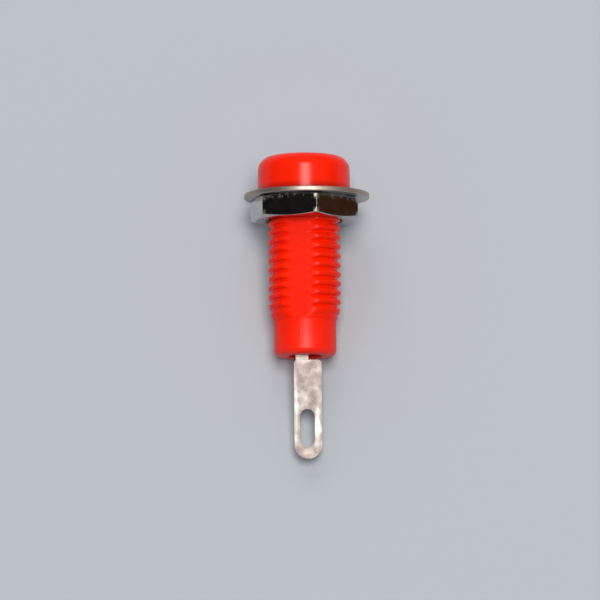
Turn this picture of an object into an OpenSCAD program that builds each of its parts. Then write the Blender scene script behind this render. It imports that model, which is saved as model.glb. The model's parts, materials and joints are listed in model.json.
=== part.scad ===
// Panel tip jack: a moulded insulator with a threaded shank, a formed spring contact that
// ends in a solder lug, a flat washer and a hexagon nut.
// Millimetres. The axis is Z with the cap up. The front is -Y. z = 0 is the cap's underside,
// which seats on the panel.

/* [Cap] */
// Diameter of the cap at its foot
cap_d = 7.94; // [7.2:0.02:9.5]
// Height of the cap above the panel
cap_h = 3.2; // [2.8:0.05:5]
// Draft of the cap's side, in degrees
cap_draft = 1; // [0.5:0.5:4]
// Radius of the cap's rounded top edge
cap_edge_r = 1.15; // [0.4:0.05:2.2]

/* [Tip socket] */
// Diameter of the tip plug that the jack takes
plug_d = 2.03; // [1.6:0.01:2.2]
// Radial room between the plug and the entry hole
entry_clear = 0.235; // [0.1:0.005:0.3]
// Depth of the entry hole, from the cap's top to the contact
entry_depth = 1.6; // [1:0.1:2.4]
// Depth of the countersink at the hole's mouth
entry_sink = 0.35; // [0.1:0.05:0.6]

/* [Threaded shank] */
// Outside diameter of the thread
thread_d = 6.2; // [5.6:0.05:6.8]
// Pitch of the thread
thread_pitch = 0.794; // [0.7:0.002:1]
// Depth of the thread
thread_depth = 0.34; // [0.25:0.01:0.48]
// Distance from the cap to the end of the thread
thread_len = 10.75; // [8:0.05:16]
// Depth of the two parting flats under the thread's crests
flat_cut = 0.39; // [0.1:0.01:0.48]
// Direction of the front parting flat, in degrees from the front
flat_turn = -8; // [-30:1:30]
// Diameter of the plain tail below the thread
tail_d = 5.3; // [4.9:0.02:6]
// Length of the plain tail
tail_len = 3.23; // [2.4:0.01:6]
// Radius of the tail's end edge
tail_edge_r = 0.35; // [0.1:0.05:0.6]

/* [Spring contact] */
// Thickness of the contact's sheet
sheet_t = 0.32; // [0.2:0.01:0.4]
// Radial room between the plug and the contact's barrel
socket_clear = 0.06; // [0.03:0.005:0.12]
// Width of the open seam along the barrel's back
seam_w = 0.3; // [0.1:0.05:0.6]
// Length of the two spring leaves
leaf_len = 5.5; // [3:0.1:7]
// Angle that each leaf spans around the barrel
leaf_span = 40; // [25:1:55]
// How far each leaf bows inwards at its middle
leaf_bow = 0.16; // [0.08:0.01:0.25]
// Room on both sides of each leaf, in degrees
leaf_room = 8; // [4:1:12]
// Width of the neck, a flat strip from the barrel's front wall to the lug
neck_w = 1.08; // [0.8:0.02:1.6]
// Offset of the neck to one side of the axis
neck_shift = -0.28; // [-0.3:0.02:0.3]
// Distance of the neck's front face from the axis, where it leaves the tail
neck_set = 1; // [0.9:0.05:1.2]
// Height above the tail's end at which the neck leaves the barrel
neck_in = 1.6; // [1:0.1:2.2]
// How far the neck's foot runs down into the lug
neck_run = 0.4; // [0.2:0.05:1]

/* [Solder lug] */
// Width of the lug
lug_w = 2.36; // [1.9:0.02:3.2]
// Reach of the lug below the tail
lug_len = 8.89; // [7:0.01:12]
// Gap between the tail and the lug's shoulders
lug_drop = 0.4; // [0.2:0.05:1]
// Radius of the lug's shoulders
shoulder_r = 0.35; // [0.1:0.05:0.9]
// Offset of the lug to one side of the axis
lug_shift = 0.2; // [-0.3:0.05:0.3]
// Distance of the lug's front face from the axis
lug_set = 0.98; // [0.7:0.02:1.06]
// Width of the slot for the wire
slot_w = 1.27; // [0.8:0.01:1.5]
// Length of the slot
slot_len = 3.24; // [2:0.02:4]
// Metal below the slot, at the lug's tip
slot_margin = 1.02; // [0.6:0.02:1.6]
// Offset of the slot to one side of the lug's middle
slot_shift = -0.08; // [-0.15:0.01:0.15]

/* [Washer] */
// Outside diameter of the washer
washer_d = 10.7; // [9.4:0.05:13]
// Thickness of the washer
washer_t = 0.4; // [0.25:0.05:0.8]
// Radial room between the washer and the thread
washer_clear = 0.34; // [0.3:0.01:0.5]
// How far the loose washer lies to one side, within its room
washer_shift = 0.24; // [0:0.02:0.24]
// Radius of the washer's stamped outer edges
washer_edge_r = 0.07; // [0.03:0.01:0.12]

/* [Nut] */
// Width of the nut across its flats
nut_af = 8.38; // [7.9:0.02:10]
// Thickness of the nut
nut_t = 1.9; // [1.5:0.05:3]
// Angle of the chamfer on the nut's corners, in degrees
nut_chamfer = 28; // [15:1:35]
// Depth of the countersinks of the nut's thread
nut_sink = 0.08; // [0.05:0.01:0.2]
// Direction of one corner of the nut, in degrees from the front
nut_turn = 13; // [-30:1:30]

/* [Clearances] */
// Radial room between the threads of the shank and the nut
thread_clear = 0.1; // [0.06:0.01:0.16]
// Radial room between the contact's barrel and its bore
bore_clear = 0.03; // [0.02:0.005:0.08]
// Room at the flat seats of the contact, washer and nut
seat_gap = 0.02; // [0.01:0.005:0.05]

/* [Hidden] */
$fn = 64;
front = -90;
over = 0.5;

// Heights
body_end = -thread_len - tail_len;
entry_floor = cap_h - entry_depth;
contact_top = entry_floor - seat_gap;
barrel_end = body_end + neck_in;
leaf_mid = (contact_top + barrel_end) / 2;
lug_top = body_end - lug_drop;
lug_tip = body_end - lug_len;
neck_foot = lug_top - neck_run;
slot_low = lug_tip + slot_margin;
washer_top = -seat_gap;
nut_top = washer_top - washer_t - seat_gap;
nut_low = nut_top - nut_t;

// Radii
cap_r = cap_d / 2;
entry_r = plug_d / 2 + entry_clear;
socket_r = plug_d / 2 + socket_clear;
barrel_r = socket_r + sheet_t;
bore_r = barrel_r + bore_clear;
// How far the neck's corners stay inside the barrel's round
neck_skin = 0.02;
lug_back = lug_set - sheet_t;
lug_mid = lug_set - sheet_t / 2;
thread_r = thread_d / 2;
root_r = thread_r - thread_depth;
core_r = (root_r + bore_r) / 2;
tail_r = tail_d / 2;
// Radius of the plain stem between the thread and the tail, just inside the tail
tail_skin = 0.02;
stem_r = tail_r - tail_skin;
flat_r = thread_r - flat_cut;
nut_corner_r = nut_af / 2 / cos(30);
nut_mouth_r = thread_r + thread_clear + nut_sink;

// Thread form, with the rows of one pitch counted up from the start of a groove's floor
turn_facets = 36;
flank_angle = 30;
crest_share = 0.7;
flank_w = thread_depth * tan(flank_angle);
flats_w = thread_pitch - 2 * flank_w;
crest_w = flats_w * crest_share;
floor_w = flats_w - crest_w;
row_z = [0, floor_w, floor_w + flank_w, floor_w + flank_w + crest_w];
row_rise = [0, 0, thread_depth, thread_depth];
rows = len(row_z);
// Height of the middle of a groove's floor on the +X side
groove_z = -0.235;
groove_start = groove_z - floor_w / 2;
// Turns of plain rod beyond each end of a thread
plain_turns = 2.3;
plain = plain_turns * thread_pitch;
// Slope of the thread's lead-in at both ends
lead_slope = 1;
thread_start = -washer_t / 4;
// Plain stem between the tail and the thread's lead-in
tail_gap = 0.4 * thread_pitch;
tail_top = -thread_len - tail_gap;

// Height of a parting flat at the angle a, as a radius
function flat_limit(a) =
    let (off = (a - front - flat_turn + 720) % 180)
    let (turned = off > 90 ? off - 180 : off)
    flat_r / max(cos(turned), 0.1);

// The shank's thread: crests cut by the parting flats, with a lead-in at both ends
function shank_limit(r, z, a) =
    let (lead = min(z + thread_len, thread_start - z) * lead_slope)
    max(stem_r, min(r, flat_limit(a), root_r + lead));

// The nut's thread: countersunk at both faces
function nut_limit(r, z, a) =
    let (depth = min(nut_top - z, z - nut_low))
    max(r, nut_mouth_r - max(0, depth));

// One point of a rod in cylindrical coordinates
function polar(r, a, z) = [r * cos(a), r * sin(a), z];

// A right-hand threaded rod from low to high, grown by swell, with each radius put through limit.
// The grid's columns are the facets of a turn. Its rows follow the helix, so the row that a column
// meets across the seam lies one pitch higher. Both ends are plain prisms of the radius end_r.
module threaded_rod(low, high, swell, end_r, limit) {
    n = turn_facets;
    margin = 0.1 * thread_pitch;
    skip = ceil((low + margin - groove_start) / thread_pitch);
    first = groove_start + skip * thread_pitch;
    turns = floor((high - margin - first) / thread_pitch) - 1;
    last = turns * rows;
    function spot(i, k) =
        let (a = 360 * i / n)
        let (z = first + thread_pitch * (floor(k / rows) + i / n) + row_z[k % rows])
        polar(limit(root_r + swell + row_rise[k % rows], z, a), a, z);
    function at(i, k) =
        i == n ? at(0, k + rows) : i == 0 ? k : last + rows + 1 + (i - 1) * (last + 1) + k;
    grid_size = last + rows + 1 + (n - 1) * (last + 1);
    function foot(i) = grid_size + i % n;
    function head(i) = grid_size + n + i % n;
    points = [
        for (k = [0 : last + rows]) spot(0, k),
        for (i = [1 : n - 1], k = [0 : last]) spot(i, k),
        for (i = [0 : n - 1]) polar(end_r, 360 * i / n, low),
        for (i = [0 : n - 1]) polar(end_r, 360 * i / n, high)
    ];
    faces = [
        for (i = [0 : n - 1], k = [0 : last - 1]) [at(i, k), at(i + 1, k + 1), at(i + 1, k)],
        for (i = [0 : n - 1], k = [0 : last - 1]) [at(i, k), at(i, k + 1), at(i + 1, k + 1)],
        for (i = [0 : n - 2]) [foot(i), at(i, 0), at(i + 1, 0), foot(i + 1)],
        [foot(n - 1), at(n - 1, 0), at(0, 0), foot(0)],
        for (k = [0 : rows - 1]) [at(n - 1, 0), at(0, k + 1), at(0, k)],
        for (k = [last : last + rows - 1]) [at(1, last), at(0, k), at(0, k + 1)],
        [at(1, last), at(0, last + rows), head(0), head(1)],
        for (i = [1 : n - 1]) [at(i, last), head(i), head(i + 1), at(i + 1, last)],
        [for (i = [0 : n - 1]) foot(i)],
        [for (i = [n - 1 : -1 : 0]) head(i)]
    ];
    polyhedron(points, faces);
}

// Half section of the cap, with a drafted side and a top edge rounded by an arc
module cap_section() {
    arc_z = cap_h - cap_edge_r;
    arc_x = cap_r - arc_z * tan(cap_draft) - cap_edge_r / cos(cap_draft);
    side_x = arc_x + cap_edge_r * cos(cap_draft);
    side_z = arc_z + cap_edge_r * sin(cap_draft);
    corner_x = cap_r - cap_h * tan(cap_draft);
    polygon([[0, 0], [cap_r, 0], [side_x, side_z], [arc_x, arc_z], [arc_x, cap_h], [0, cap_h]]);
    intersection() {
        translate([arc_x, arc_z]) circle(cap_edge_r);
        polygon([[arc_x, arc_z], [side_x, side_z], [corner_x, cap_h], [arc_x, cap_h]]);
    }
}

// Half section of the shank's core and the tail, with a rounded end edge and a coned top
module tail_section() {
    arc_x = tail_r - tail_edge_r;
    arc_z = body_end + tail_edge_r;
    cone_z = tail_top + tail_r - core_r;
    polygon([[0, tail_top], [tail_r, tail_top], [core_r, cone_z], [core_r, over], [0, over]]);
    translate([0, arc_z]) square([tail_r, tail_top - arc_z]);
    translate([0, body_end]) square([arc_x, tail_edge_r]);
    intersection() {
        translate([arc_x, arc_z]) circle(tail_edge_r);
        translate([arc_x, body_end]) square(tail_edge_r);
    }
}

// Entry hole with its countersink, and the wider bore for the contact below it
module socket_bores() {
    translate([0, 0, entry_floor - over]) cylinder(h = entry_depth + 2 * over, r = entry_r);
    translate([0, 0, cap_h - entry_sink])
        cylinder(h = entry_sink + over, r1 = entry_r, r2 = entry_r + entry_sink + over);
    translate([0, 0, body_end - over]) cylinder(h = entry_floor - body_end + over, r = bore_r);
}

// Cap, threaded shank and tail, moulded as one piece
module insulator_body() {
    color("red")
    difference() {
        union() {
            rotate_extrude() cap_section();
            rotate_extrude() tail_section();
            threaded_rod(-thread_len - plain, plain, 0, stem_r,
                function(r, z, a) shank_limit(r, z, a));
        }
        socket_bores();
    }
}

// A wedge of all that lies within half of span on either side of the direction a
module wedge(a, span, low, high) {
    reach = 2 * barrel_r;
    translate([0, 0, low])
        linear_extrude(high - low)
            polygon([[0, 0], for (side = [-0.5, 0, 0.5])
                [reach * cos(a + side * span), reach * sin(a + side * span)]]);
}

// Half section of a spring leaf, an arc that bows towards the axis
module leaf_section() {
    half = leaf_len / 2;
    arc_r = (half * half + leaf_bow * leaf_bow) / (2 * leaf_bow);
    tuck = sheet_t / 2;
    intersection() {
        translate([socket_r - leaf_bow + arc_r, leaf_mid])
            difference() {
                circle(arc_r);
                circle(arc_r - sheet_t);
            }
        translate([0, leaf_mid - half - tuck]) square([barrel_r, leaf_len + 2 * tuck]);
    }
}

// Rolled barrel with an open seam and a spring leaf in each of two windows
module rolled_barrel() {
    difference() {
        rotate_extrude()
            translate([socket_r, barrel_end]) square([sheet_t, contact_top - barrel_end]);
        translate([-seam_w / 2, 0, barrel_end - over])
            cube([seam_w, 2 * barrel_r, contact_top - barrel_end + 2 * over]);
        for (side = [0, 180])
            wedge(side, leaf_span + 2 * leaf_room, leaf_mid - leaf_len / 2, leaf_mid + leaf_len / 2);
    }
    for (side = [0, 180])
        rotate([0, 0, side - leaf_span / 2])
            rotate_extrude(angle = leaf_span) leaf_section();
}

// Neck, a strip that leaves the barrel's front wall, leans in, and steps back into the lug.
// Its side view is drawn with the front to the left, and the barrel's round bounds its corners.
module contact_neck() {
    top = barrel_end + sheet_t;
    knee = body_end + sheet_t;
    tuck = sheet_t / 2;
    neck_back = neck_set - sheet_t;
    intersection() {
        translate([neck_shift - neck_w / 2, 0, 0])
            rotate([90, 0, 90])
                linear_extrude(neck_w)
                    polygon([
                        [-barrel_r - tuck, top], [-neck_set, knee], [-neck_set, lug_top],
                        [-lug_mid, neck_foot], [-neck_back, lug_top], [-neck_back, knee],
                        [tuck - barrel_r, top]
                    ]);
        translate([0, 0, neck_foot - over])
            cylinder(h = top - neck_foot + 2 * over, r = barrel_r - neck_skin);
    }
}

// Outline of the lug, with rounded shoulders, a round tip and a slot for the wire
module lug_outline() {
    half = lug_w / 2;
    shoulder = lug_top - shoulder_r;
    difference() {
        union() {
            translate([0, lug_tip + half]) circle(half);
            translate([-half, lug_tip + half]) square([lug_w, shoulder - lug_tip - half]);
            translate([-half + shoulder_r, shoulder]) square([lug_w - 2 * shoulder_r, shoulder_r]);
            for (side = [-1, 1])
                translate([side * (half - shoulder_r), shoulder]) circle(shoulder_r);
        }
        translate([slot_shift, slot_low + slot_w / 2]) {
            circle(slot_w / 2);
            translate([-slot_w / 2, 0]) square([slot_w, slot_len - slot_w]);
            translate([0, slot_len - slot_w]) circle(slot_w / 2);
        }
    }
}

// Flat lug, one sheet thick
module solder_lug() {
    translate([lug_shift, -lug_back, 0])
        rotate([90, 0, 0]) linear_extrude(sheet_t) lug_outline();
}

// Barrel, neck and lug, formed from one piece of sheet
module spring_contact() {
    color("lightgray")
    union() {
        rolled_barrel();
        contact_neck();
        solder_lug();
    }
}

// Washer with rounded outer edges
module flat_washer() {
    inner_r = thread_r + washer_clear;
    outer_r = washer_d / 2;
    color("silver")
    translate([washer_shift, 0, washer_top - washer_t])
        rotate_extrude() {
            translate([inner_r, 0]) square([outer_r - washer_edge_r - inner_r, washer_t]);
            translate([inner_r, washer_edge_r])
                square([outer_r - inner_r, washer_t - 2 * washer_edge_r]);
            for (z = [washer_edge_r, washer_t - washer_edge_r])
                translate([outer_r - washer_edge_r, z]) circle(washer_edge_r);
        }
}

// Half section that chamfers the corners of the nut at both faces
module nut_section() {
    face_r = nut_af / 2;
    rise = (nut_corner_r - face_r) * tan(nut_chamfer);
    polygon([[0, 0], [face_r, 0], [nut_corner_r, rise], [nut_corner_r, nut_t - rise],
        [face_r, nut_t], [0, nut_t]]);
}

// Hexagon nut, chamfered on both faces, on the shank's thread
module hex_nut() {
    color("gainsboro")
    difference() {
        translate([0, 0, nut_low])
            intersection() {
                rotate([0, 0, front + nut_turn]) cylinder(h = nut_t, r = nut_corner_r, $fn = 6);
                rotate_extrude() nut_section();
            }
        threaded_rod(nut_low - plain, nut_top + plain, thread_clear, nut_mouth_r,
            function(r, z, a) nut_limit(r, z, a));
    }
}

insulator_body();
spring_contact();
flat_washer();
hex_nut();
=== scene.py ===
"""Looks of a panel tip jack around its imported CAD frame.

The moulded body, the nut, the washer and the formed contact are built finer than the solids, in
their places. Sizes are in millimetres, and meshes are put into metres as they are made.
"""

import json
import math

import bmesh
import bpy
import numpy as np
from mathutils import Matrix, Vector

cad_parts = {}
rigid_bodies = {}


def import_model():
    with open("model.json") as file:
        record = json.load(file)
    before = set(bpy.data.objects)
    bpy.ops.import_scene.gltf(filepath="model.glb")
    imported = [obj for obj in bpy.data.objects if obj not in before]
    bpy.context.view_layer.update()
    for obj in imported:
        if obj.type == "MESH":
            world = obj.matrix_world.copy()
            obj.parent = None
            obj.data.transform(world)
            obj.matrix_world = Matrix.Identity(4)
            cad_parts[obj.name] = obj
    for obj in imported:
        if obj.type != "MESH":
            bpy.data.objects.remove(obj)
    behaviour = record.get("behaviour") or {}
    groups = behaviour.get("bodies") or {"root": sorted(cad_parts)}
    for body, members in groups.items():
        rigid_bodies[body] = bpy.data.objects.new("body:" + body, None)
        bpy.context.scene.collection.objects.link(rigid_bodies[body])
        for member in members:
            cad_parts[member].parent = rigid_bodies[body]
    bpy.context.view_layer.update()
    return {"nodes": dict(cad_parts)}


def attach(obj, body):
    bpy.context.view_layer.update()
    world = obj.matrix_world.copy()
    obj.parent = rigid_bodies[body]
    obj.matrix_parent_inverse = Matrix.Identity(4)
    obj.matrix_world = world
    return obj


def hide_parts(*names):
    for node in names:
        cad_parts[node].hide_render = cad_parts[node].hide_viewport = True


MM = 0.001

# Sizes of the jack as in its CAD source, apart from three small ones: the tail's edge is rounder here,
# the thread runs out further down, and the parting flats are deeper and turned a little further
CAP_R, CAP_H, CAP_DRAFT, CAP_EDGE_R = 3.97, 3.2, 1.0, 1.15
ENTRY_R, ENTRY_FLOOR, ENTRY_SINK = 1.25, 1.6, 0.35
BORE_R = 1.425
THREAD_R, THREAD_DEPTH, PITCH, THREAD_LEN = 3.1, 0.34, 0.794, 10.75
FLANK_ANGLE, FLOOR_SHARE = 30.0, 0.3
ROOT_R = THREAD_R - THREAD_DEPTH
FLANK_W = THREAD_DEPTH * math.tan(math.radians(FLANK_ANGLE))
FLOOR_W = FLOOR_SHARE * (PITCH - 2 * FLANK_W)
GROOVE_Z = -0.235
THREAD_TOP = -0.1
FLAT_R, FLAT_TURN = 2.65, -9.0
STEM_R, TAIL_R, TAIL_EDGE_R, TAIL_TOP, BODY_END = 2.63, 2.65, 0.5, -11.07, -13.98
WASHER_IN_R, WASHER_R, WASHER_X = 3.44, 5.35, 0.24
WASHER_TOP, WASHER_LOW, WASHER_EDGE_R = -0.02, -0.42, 0.07
NUT_TOP, NUT_LOW, NUT_R = -0.44, -2.34, 4.19
NUT_CORNER, NUT_MOUTH_R, THREAD_CLEAR = 13.0, 3.28, 0.1
FRONT = -90.0


# Mesh building

def soft_min(a, b, blend):
    """The smaller of two lengths, with the corner between them rounded over about blend."""
    low = np.minimum(a, b)
    return low - blend * np.log(np.exp((low - a) / blend) + np.exp((low - b) / blend))


def faded(a, b, power=4.0):
    """The smaller of two heights, with a smooth corner, and nothing where either is nothing."""
    least = 1e-5
    return (np.maximum(a, least) ** -power + np.maximum(b, least) ** -power) ** (-1 / power)


def rounded(corners, steps, guard):
    """Closed half section through (r, z, radius) corners, each rounded by an arc of its radius.

    Every straight run also gets a point close to both of its ends, which keeps its shading flat."""
    line = []
    count = len(corners)
    for i, (r, z, radius) in enumerate(corners):
        here = Vector((r, z))
        back = (Vector(corners[i - 1][:2]) - here).normalized()
        ahead = (Vector(corners[(i + 1) % count][:2]) - here).normalized()
        half = math.acos(max(-1.0, min(1.0, back.dot(ahead)))) / 2
        reach = radius / math.tan(half)
        middle = here + (back + ahead).normalized() * (radius / math.sin(half))
        first, last = here + back * reach - middle, here + ahead * reach - middle
        line.append(here + back * (reach + guard))
        for s in range(steps + 1):
            spoke = first.lerp(last, s / steps)
            line.append(middle + spoke.normalized() * radius)
        line.append(here + ahead * (reach + guard))
    return [(p.x, p.y) for p in line]


def spread(line, longest):
    """The same run of points, with more added so that no step is longer than longest."""
    out = [line[0]]
    for (r, z), (r_next, z_next) in zip(line, line[1:]):
        parts = max(1, math.ceil(math.hypot(r_next - r, z_next - z) / longest))
        steps = [s / parts for s in range(1, parts + 1)]
        out += [(r + (r_next - r) * s, z + (z_next - z) * s) for s in steps]
    return out


def turned(name, radii, heights, angles, shift=0.0):
    """A closed ring of quads from radii[row, column], at a height per row and an angle per column."""
    rows, columns = radii.shape
    turn = np.radians(angles)[None, :]
    points = np.empty((rows, columns, 3))
    points[..., 0] = radii * np.cos(turn) + shift
    points[..., 1] = radii * np.sin(turn)
    points[..., 2] = np.asarray(heights)[:, None]
    index = np.arange(rows * columns).reshape(rows, columns)
    below = np.roll(index, -1, axis=0)
    beside, below_beside = np.roll(index, -1, axis=1), np.roll(below, -1, axis=1)
    faces = np.stack([index, beside, below_beside, below], axis=-1)
    return new_object(name, points.reshape(-1, 3) * MM, faces.reshape(-1, 4).tolist())


def new_object(name, points, faces):
    """A smooth-shaded mesh object whose faces look outwards."""
    mesh = bpy.data.meshes.new(name)
    mesh.from_pydata(points.tolist(), [], faces)
    work = bmesh.new()
    work.from_mesh(mesh)
    bmesh.ops.recalc_face_normals(work, faces=work.faces)
    work.to_mesh(mesh)
    work.free()
    mesh.shade_smooth()
    obj = bpy.data.objects.new(name, mesh)
    bpy.context.scene.collection.objects.link(obj)
    return obj


def dress(obj, node, body, mat):
    """Puts a piece in its CAD node's place, on its body, with its material."""
    obj.data.materials.clear()
    obj.data.materials.append(mat)
    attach(obj, body)
    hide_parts(node)


# The pieces

def thread_rise(z, angles):
    """Height of the thread over its root at each height and angle, with softened crests and roots."""
    soften, samples = 0.07, 5
    total = 0.0
    for shift in np.linspace(-soften, soften, samples):
        start = (z + shift - GROOVE_Z + FLOOR_W / 2) / PITCH - angles / 360.0
        climb = (start - np.floor(start)) * PITCH
        up = (climb - FLOOR_W) / FLANK_W
        down = (PITCH - climb) / FLANK_W
        total = total + np.clip(np.minimum(up, down), 0.0, 1.0)
    return THREAD_DEPTH * total / samples


def from_parting(angles):
    """Angle from the nearer of the two parting lines, in degrees from -90 to 90."""
    return (angles - FRONT - FLAT_TURN + 90.0) % 180.0 - 90.0


def shank_radius(z, angles):
    """Radius of the threaded shank, cut by the parting flats and led in at both ends."""
    slope, least_cosine, flat_power = 0.42, 0.2, 8.0
    flat = FLAT_R / np.maximum(np.cos(np.radians(from_parting(angles))), least_cosine)
    proud = ROOT_R - STEM_R
    ridge = faded(proud + thread_rise(z, angles), flat - STEM_R, flat_power)
    run_out = TAIL_R - STEM_R + (z - TAIL_TOP) * slope
    lead_in = proud + THREAD_TOP - z
    return STEM_R + faded(ridge, np.minimum(run_out, lead_in))


def parting_ridge(angles):
    """Height of the fine ridge that the two halves of the mould leave."""
    height, width = 0.006, 1.0
    return height * np.exp(-(from_parting(angles) / width) ** 2)


def moulding_angles():
    """Columns of the moulding, closer together along the two parting lines."""
    coarse, fine, reach = 2.0, 0.4, 4.0
    angles = []
    for line in (FRONT + FLAT_TURN, FRONT + FLAT_TURN + 180.0):
        angles += list(np.arange(-reach, reach, fine) + line)
        angles += list(np.arange(reach, 180.0 - reach, coarse) + line)
    return np.array(angles)


def make_moulding():
    """Cap, threaded shank and tail in one moulding, bored through for the contact."""
    cap_top_r = CAP_R - CAP_H * math.tan(math.radians(CAP_DRAFT))
    section = rounded([
        (BORE_R, ENTRY_FLOOR, 0.02),
        (BORE_R, BODY_END, 0.06),
        (TAIL_R, BODY_END, TAIL_EDGE_R),
        (TAIL_R, TAIL_TOP, 0.005),
        (STEM_R, TAIL_TOP + TAIL_R - STEM_R, 0.005),
        (STEM_R, 0.0, 0.02),
        (CAP_R, 0.0, 0.06),
        (cap_top_r, CAP_H, CAP_EDGE_R),
        (ENTRY_R + ENTRY_SINK, CAP_H, 0.08),
        (ENTRY_R, CAP_H - ENTRY_SINK, 0.08),
        (ENTRY_R, ENTRY_FLOOR, 0.03),
    ], steps=10, guard=0.015)

    # The thread's rows take the place of the section's points along the shank. A point that is further
    # out than outer_r is on the outside, not in the bore
    outer_r = BORE_R + 0.3
    stem_low, thread_low, thread_high = TAIL_TOP + 0.01, TAIL_TOP + 0.1, THREAD_TOP + 0.06
    outer = [i for i, (r, _) in enumerate(section) if r > outer_r]
    stem = next(i for i in outer if section[i][1] > stem_low)
    cap = next(i for i in outer if section[i][1] > thread_high)
    rows_per_pitch, tail_step, cap_step = 20, 0.8, 0.4
    count = int((thread_high - thread_low) / PITCH * rows_per_pitch)
    thread_rows = [(STEM_R, z) for z in np.linspace(thread_low, thread_high, count)]
    line = spread(section[:stem], tail_step) + thread_rows + spread(section[cap:], cap_step)

    angles = moulding_angles()
    radii = np.array([[r] * len(angles) for r, _ in line])
    heights = np.array([z for _, z in line])
    outside = radii[:, 0] > outer_r
    threaded = outside & (heights >= thread_low) & (heights <= thread_high)
    radii[threaded] = shank_radius(heights[threaded][:, None], angles[None, :])
    plain = outside & (heights < TAIL_TOP) & (heights > BODY_END + TAIL_EDGE_R)
    radii[plain] += parting_ridge(angles)[None, :]
    return turned("jack_moulding", radii, heights, angles)


def nut_angles():
    """Columns of the nut, closer together at its corners."""
    half = [0.0, 0.2, 0.4, 0.65, 0.95, 1.3, 1.8, 2.5, 3.5, 5.0, 7.0, 9.5, 12.5, 16.0, 20.0, 25.0]
    sector = sorted({-h for h in half} | set(half) | {30.0})
    return np.array([FRONT + NUT_CORNER + 60.0 * k + s for k in range(6) for s in sector])


def hexagon(angles, wear):
    """Radius of the nut's hexagon with its corners worn."""
    offset = (angles - FRONT - NUT_CORNER) % 60.0
    here = NUT_R / np.cos(np.radians(offset - 30.0))
    beside = NUT_R / np.cos(np.radians(np.minimum(np.abs(offset - 90.0), np.abs(offset + 30.0))))
    return soft_min(here, beside, wear)


def make_nut():
    """Hexagon nut with worn corners, chamfers on both faces and its thread."""
    angles = nut_angles()
    low_chamfer, top_chamfer = 18.0, 10.0
    low_cone, top_cone = (1 / math.tan(math.radians(a)) for a in (low_chamfer, top_chamfer))
    chamfer_start, chamfer_blend = NUT_R - 0.03, 0.02
    wear, end_wear, end_reach, end_power = 0.014, 0.11, 0.44, 4
    thick = NUT_TOP - NUT_LOW
    ends = [0.0, 0.012, 0.035, 0.07, 0.11, 0.16, 0.21, 0.26, 0.31, 0.36, 0.41, 0.46, 0.52, 0.6, 0.75]
    rows, heights = [], []
    for e in ends + [thick - e for e in reversed(ends)]:
        near_end = math.exp(-(min(e, thick - e) / end_reach) ** end_power)
        shape = hexagon(angles, wear + end_wear * near_end)
        chamfer = chamfer_start + min(e * low_cone, (thick - e) * top_cone)
        rows.append(soft_min(shape, np.full_like(shape, chamfer), chamfer_blend))
        heights.append(NUT_LOW + e)
    face_steps = [0.985, 0.9, 0.7, 0.5, 0.3, 0.12, 0.03]
    low_rim, top_rim = rows[0], rows[-1]
    mouth = NUT_MOUTH_R + 0.04
    rows += [mouth + (top_rim - mouth) * s for s in face_steps]
    heights += [NUT_TOP] * len(face_steps)
    bore_rows = 52
    for e in np.linspace(0.0, thick, bore_rows):
        z = NUT_TOP - e
        bore = ROOT_R + THREAD_CLEAR + thread_rise(z, angles)
        sink = NUT_MOUTH_R - min(e, thick - e)
        rows.append(np.maximum(bore, sink))
        heights.append(z)
    rows += [mouth + (low_rim - mouth) * s for s in reversed(face_steps)]
    heights += [NUT_LOW] * len(face_steps)
    return turned("jack_nut", np.array(rows), heights, angles)


def make_washer():
    """Stamped flat washer with rolled outer edges."""
    burr, step, column = 0.04, 0.4, 1.5
    section = rounded([
        (WASHER_IN_R, WASHER_TOP, burr),
        (WASHER_IN_R, WASHER_LOW, burr),
        (WASHER_R, WASHER_LOW, WASHER_EDGE_R),
        (WASHER_R, WASHER_TOP, WASHER_EDGE_R),
    ], steps=8, guard=0.02)
    line = spread(section, step)
    angles = np.arange(0.0, 360.0, column)
    radii = np.array([[r] * len(angles) for r, _ in line])
    return turned("jack_washer", radii, [z for _, z in line], angles, shift=WASHER_X)


def make_contact(solid):
    """The formed contact: its sheet with the edges rounded over as stamping leaves them."""
    edge, steps, same_place = 0.045, 3, 0.001
    flat, sharp, crease = math.radians(1.0), math.radians(20), math.radians(35)
    mesh = solid.data.copy()
    work = bmesh.new()
    work.from_mesh(mesh)
    bmesh.ops.remove_doubles(work, verts=work.verts, dist=same_place * MM)
    bmesh.ops.dissolve_limit(work, angle_limit=flat, verts=work.verts, edges=work.edges)
    shared = [e for e in work.edges if len(e.link_faces) == 2]
    edges = [e for e in shared if e.calc_face_angle() > sharp]
    bmesh.ops.bevel(work, geom=edges, offset=edge * MM, offset_type="OFFSET", segments=steps,
                    profile=0.5, affect="EDGES", clamp_overlap=True)
    work.to_mesh(mesh)
    work.free()
    mesh.shade_smooth()
    mesh.set_sharp_from_angle(angle=crease)
    obj = bpy.data.objects.new("jack_contact", mesh)
    bpy.context.scene.collection.objects.link(obj)
    return obj


# Materials

def material(name):
    """A new node material, its tree and its shader."""
    mat = bpy.data.materials.new(name)
    mat.use_nodes = True
    return mat, mat.node_tree, mat.node_tree.nodes["Principled BSDF"]


def noise(tree, size, detail=3.0, stretch=(1.0, 1.0, 1.0)):
    """A noise whose blobs are about size mm across, stretched along X, Y and Z."""
    coords = tree.nodes.new("ShaderNodeTexCoord")
    mapping = tree.nodes.new("ShaderNodeMapping")
    mapping.inputs["Scale"].default_value = [1 / s for s in stretch]
    tex = tree.nodes.new("ShaderNodeTexNoise")
    tex.inputs["Scale"].default_value = 1 / (size * MM)
    tex.inputs["Detail"].default_value = detail
    tree.links.new(coords.outputs["Object"], mapping.inputs["Vector"])
    tree.links.new(mapping.outputs["Vector"], tex.inputs["Vector"])
    return tex.outputs["Fac"]


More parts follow.
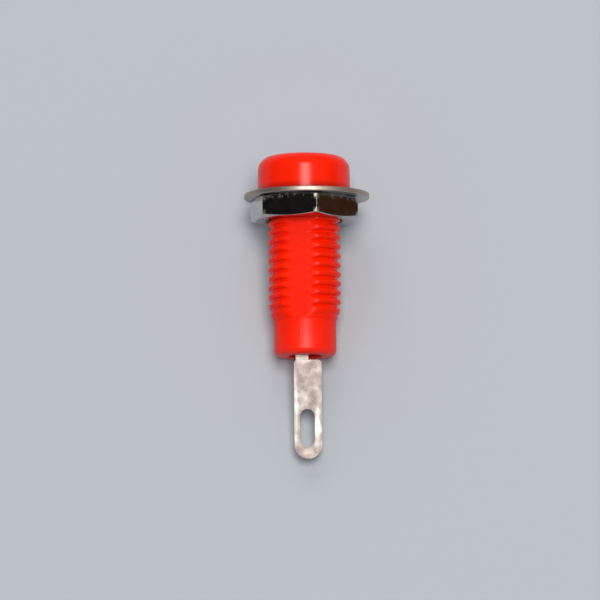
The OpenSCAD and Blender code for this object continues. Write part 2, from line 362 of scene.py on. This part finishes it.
def ranged(tree, value, low, high, start=0.3, end=0.7):
    """A value taken from start..end to low..high."""
    node = tree.nodes.new("ShaderNodeMapRange")
    node.inputs["From Min"].default_value = start
    node.inputs["From Max"].default_value = end
    node.inputs["To Min"].default_value = low
    node.inputs["To Max"].default_value = high
    tree.links.new(value, node.inputs["Value"])
    return node.outputs["Result"]


def along(tree, length, low, high, start, end):
    """From low to high while a length goes from start to end mm."""
    return ranged(tree, length, low, high, start * MM, end * MM)


def ramp(tree, value, stops):
    """Colours over a value, from (place, colour) stops."""
    node = tree.nodes.new("ShaderNodeValToRGB")
    bar = node.color_ramp
    while len(bar.elements) < len(stops):
        bar.elements.new(0.5)
    for element, (place, colour) in zip(bar.elements, stops):
        element.position = place
        element.color = (*colour, 1.0)
    tree.links.new(value, node.inputs["Fac"])
    return node.outputs["Color"]


def height_above_panel(tree):
    """Height over the panel's plane, in metres."""
    coords = tree.nodes.new("ShaderNodeTexCoord")
    split = tree.nodes.new("ShaderNodeSeparateXYZ")
    tree.links.new(coords.outputs["Object"], split.inputs["Vector"])
    return split.outputs["Z"]


def from_axis(tree, shift=0.0):
    """Distance from an upright axis that is shift mm to the right of the jack's own, in metres."""
    coords = tree.nodes.new("ShaderNodeTexCoord")
    level = tree.nodes.new("ShaderNodeMapping")
    level.inputs["Location"].default_value = (-shift * MM, 0.0, 0.0)
    level.inputs["Scale"].default_value = (1.0, 1.0, 0.0)
    length = tree.nodes.new("ShaderNodeVectorMath")
    length.operation = "LENGTH"
    tree.links.new(coords.outputs["Object"], level.inputs["Vector"])
    tree.links.new(level.outputs["Vector"], length.inputs[0])
    return length.outputs["Value"]


def worked(tree, operation, *values):
    """One step of arithmetic on sockets and plain numbers."""
    node = tree.nodes.new("ShaderNodeMath")
    node.operation = operation
    for socket, value in zip(node.inputs, values):
        if isinstance(value, float):
            socket.default_value = value
        else:
            tree.links.new(value, socket)
    return node.outputs[0]


def mixed(tree, share, under, over):
    """Two colours mixed by a share."""
    under_socket, over_socket, colour_socket = 6, 7, 2
    node = tree.nodes.new("ShaderNodeMix")
    node.data_type = "RGBA"
    tree.links.new(share, node.inputs["Factor"])
    tree.links.new(under, node.inputs[under_socket])
    tree.links.new(over, node.inputs[over_socket])
    return node.outputs[colour_socket]


def bumped(tree, height, depth, below=None):
    """A bump of depth mm, on top of the one below it."""
    node = tree.nodes.new("ShaderNodeBump")
    node.inputs["Distance"].default_value = depth * MM
    tree.links.new(height, node.inputs["Height"])
    if below is not None:
        tree.links.new(below, node.inputs["Normal"])
    return node.outputs["Normal"]


def painted_cap_foot_shade(tree, height, patches):
    """How much painted shade darkens the red round the cap's foot, next to the washer, thinner in
    patches.
    """
    foot = along(tree, height, low=1.0, high=0.0, start=0.15, end=0.75)
    on_cap = along(tree, height, low=0.0, high=1.0, start=-0.03, end=0.0)
    ring = worked(tree, "MULTIPLY", foot, on_cap)
    return worked(tree, "MULTIPLY", ring, ranged(tree, patches, 0.7, 0.95))


def red_nylon():
    """Semi-gloss red nylon with flow marks and the mould's grain, and painted shade round the cap's
    foot.
    """
    mat, tree, shader = material("red_nylon")
    link = tree.links.new
    flow = noise(tree, size=1.6, detail=2.0, stretch=(1.0, 1.0, 2.5))
    grain = noise(tree, size=0.14, detail=2.0)
    height = height_above_panel(tree)
    colour = ramp(tree, flow, [(0.3, (0.93, 0.014, 0.0006)), (0.7, (0.97, 0.016, 0.0008))])
    fleck = ramp(tree, grain, [(0.35, (0.89, 0.012, 0.0005)), (0.65, (0.98, 0.018, 0.001))])
    clean = mixed(tree, ranged(tree, grain, 0.1, 0.3), colour, fleck)
    # Darker red painted round the cap's foot, standing in for the shade next to the washer
    shaded_red = ramp(tree, flow, [(0.3, (0.20, 0.006, 0.002)), (0.7, (0.24, 0.008, 0.003))])
    link(mixed(tree, painted_cap_foot_shade(tree, height, flow), clean, shaded_red), shader.inputs["Base Color"])

    # The shank is more satin than the cap, and the tail more than the shank
    collar = -0.4
    polish = ranged(tree, noise(tree, size=0.5), 0.19, 0.27)
    shank_satin = along(tree, height, low=0.05, high=0.0, start=collar, end=0.0)
    tail_satin = along(tree, height, low=0.12, high=0.0, start=TAIL_TOP, end=-THREAD_LEN)
    satin = worked(tree, "ADD", shank_satin, tail_satin)
    link(worked(tree, "ADD", polish, satin), shader.inputs["Roughness"])

    # The shank mirrors less than the cap, and the tail more towards its end
    shank_shine = along(tree, height, low=0.26, high=0.5, start=collar, end=0.0)
    tail_shine = along(tree, height, low=0.5, high=0.0, start=BODY_END, end=-THREAD_LEN)
    link(worked(tree, "ADD", shank_shine, tail_shine), shader.inputs["Specular IOR Level"])

    sink_marks = bumped(tree, noise(tree, size=1.3, detail=1.0), depth=0.006)
    link(bumped(tree, grain, depth=0.001, below=sink_marks), shader.inputs["Normal"])
    shader.inputs["IOR"].default_value = 1.30
    return mat


def rim_wear(tree):
    """The washer's sheared rim."""
    start, full = WASHER_R - 0.14, WASHER_R - 0.04
    return along(tree, from_axis(tree, WASHER_X), 0.0, 1.0, start, full)


def nut_wear(tree):
    """The tips of the nut's corners, and small nicks along its upper edge."""
    corner_r, mid_height = NUT_R / math.cos(math.radians(30)), (NUT_TOP + NUT_LOW) / 2
    height = height_above_panel(tree)
    from_middle = worked(tree, "ABSOLUTE", worked(tree, "SUBTRACT", height, mid_height * MM))
    ends = along(tree, from_middle, low=0.0, high=1.0, start=0.25, end=0.6)
    corner = along(tree, from_axis(tree), 0.0, 1.0, corner_r - 0.17, corner_r - 0.10)
    tips = worked(tree, "MULTIPLY", corner, ends)
    band = along(tree, height, 0.0, 0.6, NUT_TOP - 0.55, NUT_TOP - 0.25)
    specks = ranged(tree, noise(tree, size=0.4), 0.0, 1.0, start=0.54, end=0.62)
    nicks = worked(tree, "MULTIPLY", band, specks)
    return worked(tree, "MAXIMUM", tips, nicks)


def clouded(tree, cloud, colour):
    """A metal's colour, a little duller in clouds."""
    dulling = 0.86
    dull = [c * dulling for c in colour]
    return ramp(tree, cloud, [(0.3, dull), (0.7, colour)])


def plate(name, rough, wear, worn_rough):
    """Bright nickel plate with faint clouding and hairline scratches, rougher where it is worn."""
    mat, tree, shader = material(name)
    link = tree.links.new
    nickel, bare = (0.47, 0.465, 0.46), (0.53, 0.455, 0.40)
    cloud = noise(tree, size=0.9, detail=4.0)
    worn = wear(tree)
    colour = mixed(tree, worn, clouded(tree, cloud, nickel), clouded(tree, cloud, bare))
    link(colour, shader.inputs["Base Color"])
    polish = ranged(tree, cloud, *rough)
    link(worked(tree, "MULTIPLY_ADD", worn, worn_rough, polish), shader.inputs["Roughness"])
    hair = noise(tree, size=0.05, detail=2.0, stretch=(1.0, 12.0, 1.0))
    swell = bumped(tree, noise(tree, size=0.8, detail=1.0), depth=0.006)
    link(bumped(tree, hair, depth=0.0006, below=swell), shader.inputs["Normal"])
    shader.inputs["Metallic"].default_value = 1.0
    return mat


# Middles and half widths of the places on the contact where highlights are painted into the tin's
# colour, along X, Y and Z: the neck's bend, the sheet along the slot, and the lug's left edge
PAINTED_HIGHLIGHT_PLACES = [
    ((-0.28, -0.9, -14.1), (1.1, 2.0, 0.75)),
    ((0.95, -0.9, -20.35), (0.32, 2.0, 2.1)),
    ((-0.93, -0.9, -18.6), (0.30, 2.0, 4.2)),
]


def near(tree, middle, reach):
    """One about a place in the piece, falling to nothing at its reach."""
    coords = tree.nodes.new("ShaderNodeTexCoord")
    mapping = tree.nodes.new("ShaderNodeMapping")
    mapping.vector_type = "TEXTURE"
    mapping.inputs["Location"].default_value = [m * MM for m in middle]
    mapping.inputs["Scale"].default_value = [r * MM for r in reach]
    ball = tree.nodes.new("ShaderNodeTexGradient")
    ball.gradient_type = "SPHERICAL"
    tree.links.new(coords.outputs["Object"], mapping.inputs["Vector"])
    tree.links.new(mapping.outputs["Vector"], ball.inputs["Vector"])
    return ranged(tree, ball.outputs["Fac"], 0.0, 1.0, start=0.0, end=0.5)


def tinned_sheet():
    """Dull tin plate on formed sheet, warm and blotched, with scratches along the lug, and painted
    highlights at its neck, along its slot and on its left edge.
    """
    mat, tree, shader = material("tinned_contact")
    link = tree.links.new
    blotch = noise(tree, size=0.75, detail=4.0)
    spots = noise(tree, size=0.28)
    tin = ramp(tree, blotch, [
        (0.32, (0.32, 0.280, 0.275)),
        (0.5, (0.36, 0.320, 0.315)),
        (0.66, (0.40, 0.360, 0.355)),
    ])
    stain = ramp(tree, spots, [(0.3, (0.20, 0.165, 0.15)), (0.45, (0.35, 0.310, 0.30))])
    highlight_tin = ramp(tree, blotch, [(0.3, (0.58, 0.54, 0.53)), (0.7, (0.68, 0.645, 0.635))])
    colour = mixed(tree, ranged(tree, spots, 0.55, 0.0, start=0.3, end=0.45), tin, stain)
    # Painted highlights: lighter tin mixed in round each of the places above
    for middle, reach in PAINTED_HIGHLIGHT_PLACES:
        colour = mixed(tree, near(tree, middle, reach), colour, highlight_tin)
    link(colour, shader.inputs["Base Color"])
    link(ranged(tree, blotch, 0.62, 0.5), shader.inputs["Roughness"])
    drawn = noise(tree, size=0.06, detail=2.0, stretch=(1.0, 1.0, 14.0))
    wave = bumped(tree, noise(tree, size=0.9, detail=1.5), depth=0.012)
    link(bumped(tree, drawn, depth=0.0015, below=wave), shader.inputs["Normal"])
    shader.inputs["Metallic"].default_value = 1.0
    return mat


# Stage

def direction(azimuth, elevation):
    """Towards a point of the studio: azimuth from the front to the right, elevation up."""
    a, e = math.radians(azimuth), math.radians(elevation)
    return Vector((math.sin(a) * math.cos(e), -math.cos(a) * math.cos(e), math.sin(e)))


def backdrop():
    """The pale board that the jack lies on, seen from its front only. It leans from washer to tail."""
    reach, gap = 0.6, 0.02
    lean = (WASHER_R - TAIL_R) / (WASHER_LOW - (BODY_END + TAIL_EDGE_R))
    touch = Vector((0.0, WASHER_R + gap, WASHER_LOW)) * MM
    run = Vector((0.0, lean, 1.0)).normalized()
    side = Vector((1.0, 0.0, 0.0))
    ways = ((-1, -1), (1, -1), (1, 1), (-1, 1))
    corners = [touch + side * (a * reach) + run * (b * reach) for a, b in ways]
    mesh = bpy.data.meshes.new("board")
    mesh.from_pydata([tuple(c) for c in corners], [], [(0, 1, 2, 3)])
    board = bpy.data.objects.new("board", mesh)
    bpy.context.scene.collection.objects.link(board)
    mat, tree, shader = material("pale_board")
    shader.inputs["Base Color"].default_value = (0.445, 0.487, 0.545, 1.0)
    shader.inputs["Roughness"].default_value = 0.9
    clear = tree.nodes.new("ShaderNodeBsdfTransparent")
    facing = tree.nodes.new("ShaderNodeNewGeometry")
    mix = tree.nodes.new("ShaderNodeMixShader")
    tree.links.new(facing.outputs["Backfacing"], mix.inputs["Fac"])
    tree.links.new(shader.outputs["BSDF"], mix.inputs[1])
    tree.links.new(clear.outputs["BSDF"], mix.inputs[2])
    tree.links.new(mix.outputs["Shader"], tree.nodes["Material Output"].inputs["Surface"])
    mesh.materials.append(mat)


def painted_reflection_card(name, azimuths, elevations, colour):
    """A card beside the camera that glows with its colour and is seen only in what mirrors it: a
    painted reflection, which neither lights nor shades the jack.
    """
    distance, steps = 1.2, 12
    points, faces = [], []
    for i in range(steps + 1):
        azimuth = azimuths[0] + (azimuths[1] - azimuths[0]) * i / steps
        points += [tuple(direction(azimuth, e) * distance) for e in elevations]
    for i in range(steps):
        faces.append((2 * i, 2 * i + 1, 2 * i + 3, 2 * i + 2))
    mesh = bpy.data.meshes.new(name)
    mesh.from_pydata(points, [], faces)
    card = bpy.data.objects.new(name, mesh)
    bpy.context.scene.collection.objects.link(card)
    for ray in ("camera", "diffuse", "transmission", "volume_scatter", "shadow"):
        setattr(card, "visible_" + ray, False)
    mat, tree, _ = material(name + "_card")
    glow = tree.nodes.new("ShaderNodeEmission")
    glow.inputs["Color"].default_value = (*colour, 1.0)
    tree.links.new(glow.outputs["Emission"], tree.nodes["Material Output"].inputs["Surface"])
    mesh.materials.append(mat)


def lamp(name, azimuth, elevation, distance, size, power, colour=(1.0, 1.0, 1.0)):
    """A soft area lamp that looks at the middle of the jack."""
    middle = Vector((0.0, 0.0, -9.8)) * MM
    light = bpy.data.lights.new(name, "AREA")
    light.shape = "RECTANGLE"
    light.size, light.size_y = size
    light.energy = power
    light.color = colour
    obj = bpy.data.objects.new(name, light)
    away = direction(azimuth, elevation)
    obj.location = middle + away * distance
    obj.rotation_mode = "QUATERNION"
    obj.rotation_quaternion = away.to_track_quat("Z", "Y")
    bpy.context.scene.collection.objects.link(obj)
    return obj


def studio_world():
    """White surroundings for the camera and for mirrors, and a softer fill for the rest."""
    world = bpy.data.worlds.new("studio")
    bpy.context.scene.world = world
    world.use_nodes = True
    tree = world.node_tree
    fill = tree.nodes["Background"]
    fill.inputs["Color"].default_value = (0.95, 0.97, 1.0, 1.0)
    fill.inputs["Strength"].default_value = 0.25
    white = tree.nodes.new("ShaderNodeBackground")
    white.inputs["Color"].default_value = (0.80, 0.82, 0.85, 1.0)
    path = tree.nodes.new("ShaderNodeLightPath")
    shown = path.outputs["Is Camera Ray"]
    for ray in ("Is Glossy Ray", "Is Transmission Ray"):
        shown = worked(tree, "MAXIMUM", shown, path.outputs[ray])
    mix = tree.nodes.new("ShaderNodeMixShader")
    tree.links.new(shown, mix.inputs["Fac"])
    tree.links.new(fill.outputs["Background"], mix.inputs[1])
    tree.links.new(white.outputs["Background"], mix.inputs[2])
    tree.links.new(mix.outputs["Shader"], tree.nodes["World Output"].inputs["Surface"])


def photo_camera():
    """Camera below the front, far off, with the jack's origin at its place in the 600 by 600 frame."""
    below, distance, roll = math.radians(8.2), 0.8, math.radians(0.5)
    pixels_per_mm, image, sensor = 11.7, 600.0, 36.0
    origin_right, origin_up = 3.9, 105.8
    focal = pixels_per_mm * distance / MM
    ahead = Vector((0.0, math.cos(below), math.sin(below)))
    right, up = Vector((1.0, 0.0, 0.0)), Vector((0.0, -math.sin(below), math.cos(below)))
    rolled_right = right * math.cos(roll) - up * math.sin(roll)
    rolled_up = up * math.cos(roll) + right * math.sin(roll)
    aim = ahead - rolled_right * (origin_right / focal) - rolled_up * (origin_up / focal)
    aim.normalize()
    top = (rolled_up - aim * rolled_up.dot(aim)).normalized()
    side = aim.cross(top)
    data = bpy.data.cameras.new("camera")
    data.sensor_width = sensor
    data.lens = focal * sensor / image
    data.clip_start, data.clip_end = 0.05, 10.0
    camera = bpy.data.objects.new("camera", data)
    turn = Matrix((side, top, -aim)).transposed()
    camera.matrix_world = Matrix.Translation(-ahead * distance) @ turn.to_4x4()
    bpy.context.scene.collection.objects.link(camera)
    bpy.context.scene.camera = camera


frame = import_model()
bpy.context.scene.view_settings.view_transform = "Standard"
for leftover in [o for o in bpy.data.objects if o.name in ("Cube", "Light", "Camera")]:
    bpy.data.objects.remove(leftover)

moulding = make_moulding()
dress(moulding, "insulator_body", "insulator", red_nylon())
contact = make_contact(frame["nodes"]["spring_contact"])
dress(contact, "spring_contact", "insulator", tinned_sheet())
washer_plate = plate("plated_washer", rough=(0.38, 0.28), wear=rim_wear, worn_rough=0.2)
dress(make_washer(), "flat_washer", "washer", washer_plate)
nut_plate = plate("plated_nut", rough=(0.17, 0.09), wear=nut_wear, worn_rough=0.35)
dress(make_nut(), "hex_nut", "nut", nut_plate)

backdrop()
# Painted reflections round the camera, seen only by mirrors: near black on the left, a warm glow on
# the wing, dark brown on the right
reflection_card_elevations = (-50.0, 80.0)
painted_reflection_card("flag_left", (-95.0, 18.0), reflection_card_elevations, (0.012, 0.011, 0.010))
painted_reflection_card("flag_wing", (18.0, 60.0), reflection_card_elevations, (0.36, 0.27, 0.23))
painted_reflection_card("flag_right", (60.0, 110.0), reflection_card_elevations, (0.058, 0.02, 0.007))
lamp("key", azimuth=4.0, elevation=7.0, distance=0.7, size=(0.25, 0.34), power=3.9,
     colour=(1.0, 0.95, 0.88))
overhead = lamp("overhead", azimuth=-12.0, elevation=58.0, distance=0.7, size=(0.5, 0.4), power=1.2)
overhead.visible_glossy = False
studio_world()
photo_camera()
